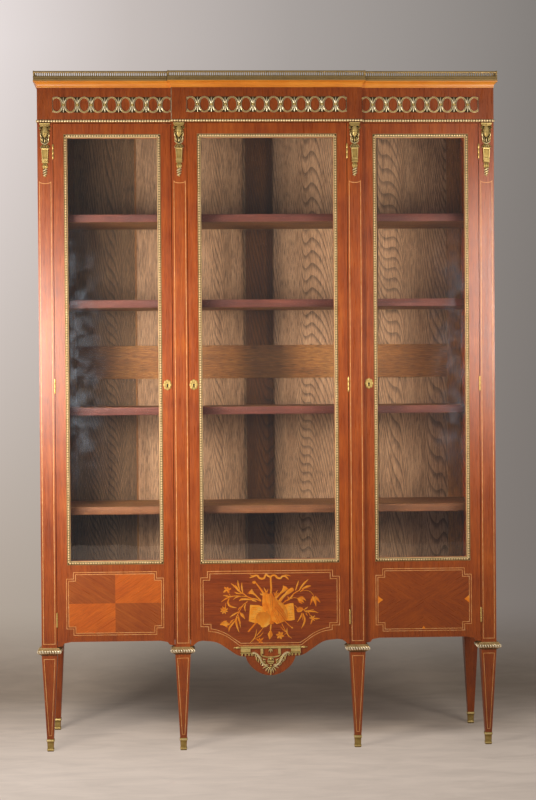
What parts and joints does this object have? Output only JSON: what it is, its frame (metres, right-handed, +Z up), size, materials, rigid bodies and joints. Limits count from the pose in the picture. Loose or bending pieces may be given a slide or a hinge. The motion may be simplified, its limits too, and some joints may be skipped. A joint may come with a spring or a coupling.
{
  "type": "display cabinet",
  "caption": "Tall breakfront display cabinet with glazed hinged doors, shelves, tapered legs, gilt mounts and a pierced gallery on top.",
  "frame": {"origin": "on the floor under the middle of the footprint: the point midway between the sides and midway between the foremost collars and the back", "axes": "+X to the right seen from the front, +Y to the back, +Z up; the doors face -Y"},
  "size_m": [1.41, 0.4236, 2.05],
  "materials": {
    "kingwood_veneer": "polished red-brown veneer with light stringing",
    "mahogany_veneer": "polished red-brown veneer",
    "cornice_wood": "polished lighter orange-brown",
    "interior_oak": "plain brown, waxed",
    "gilt_bronze": "chased and gilt, worn",
    "gallery_brass": "pierced sheet, satin",
    "hinge_brass": "polished",
    "lock_steel": "satin",
    "glass": "clear old glass, slightly dusty"
  },
  "bodies": {
    "carcase": {"post_outer_left": "kingwood_veneer", "post_inner_left": "kingwood_veneer", "post_inner_right": "kingwood_veneer", "post_outer_right": "kingwood_veneer", "side_left": "mahogany_veneer", "side_right": "mahogany_veneer", "bottom_board": "interior_oak", "frieze": "mahogany_veneer", "cornice": "cornice_wood", "top_board": "mahogany_veneer", "gallery": "gallery_brass", "back_frame": "interior_oak", "back_panel_left": "interior_oak", "back_panel_right": "interior_oak", "shelf_top": "interior_oak", "shelf_upper": "interior_oak", "shelf_lower": "interior_oak", "shelf_bottom": "interior_oak", "leg_collar_outer_left": "gilt_bronze", "leg_collar_inner_left": "gilt_bronze", "leg_collar_inner_right": "gilt_bronze", "leg_collar_outer_right": "gilt_bronze", "sabot_outer_left": "gilt_bronze", "sabot_inner_left": "gilt_bronze", "sabot_inner_right": "gilt_bronze", "sabot_outer_right": "gilt_bronze", "sabot_rear_left": "gilt_bronze", "sabot_rear_right": "gilt_bronze", "frieze_mount_left": "gilt_bronze", "frieze_mount_center": "gilt_bronze", "frieze_mount_right": "gilt_bronze", "post_mount_outer_left": "gilt_bronze", "post_mount_inner_left": "gilt_bronze", "post_mount_inner_right": "gilt_bronze", "post_mount_outer_right": "gilt_bronze"},
    "door_left": {"door_frame_left": "kingwood_veneer", "glass_left": "glass", "bead_frame_left": "gilt_bronze", "escutcheon_left": "gilt_bronze", "hinge_left_top": "hinge_brass", "hinge_left_middle": "hinge_brass", "hinge_left_bottom": "hinge_brass"},
    "door_center": {"door_frame_center": "kingwood_veneer", "glass_center": "glass", "bead_frame_center": "gilt_bronze", "escutcheon_center": "gilt_bronze", "apron_mount": "gilt_bronze", "hinge_center_top": "hinge_brass", "hinge_center_middle": "hinge_brass", "hinge_center_bottom": "hinge_brass"},
    "door_right": {"door_frame_right": "kingwood_veneer", "glass_right": "glass", "bead_frame_right": "gilt_bronze", "escutcheon_right": "gilt_bronze", "hinge_right_top": "hinge_brass", "hinge_right_middle": "hinge_brass", "hinge_right_bottom": "hinge_brass"},
    "bolt_left": {"lock_bolt_left": "lock_steel"},
    "bolt_center": {"lock_bolt_center": "lock_steel"},
    "bolt_right": {"lock_bolt_right": "lock_steel"}
  },
  "joints": [
    {"name": "door_left_hinge", "type": "hinge", "parent": "carcase", "child": "door_left", "pos_m": [-0.64325, -0.18705, 1.1045], "axis": [0, 0, -1], "range_deg": [0, 110]},
    {"name": "door_center_hinge", "type": "hinge", "parent": "carcase", "child": "door_center", "pos_m": [0.24125, -0.19955, 1.1045], "axis": [0, 0, 1], "range_deg": [0, 100]},
    {"name": "door_right_hinge", "type": "hinge", "parent": "carcase", "child": "door_right", "pos_m": [0.64325, -0.18705, 1.1045], "axis": [0, 0, 1], "range_deg": [0, 110]},
    {"name": "bolt_left_slide", "type": "slide", "parent": "door_left", "child": "bolt_left", "axis": [1, 0, 0], "range_m": [0, 0.0075]},
    {"name": "bolt_center_slide", "type": "slide", "parent": "door_center", "child": "bolt_center", "axis": [-1, 0, 0], "range_m": [0, 0.0075]},
    {"name": "bolt_right_slide", "type": "slide", "parent": "door_right", "child": "bolt_right", "axis": [-1, 0, 0], "range_m": [0, 0.0075]}
  ]
}
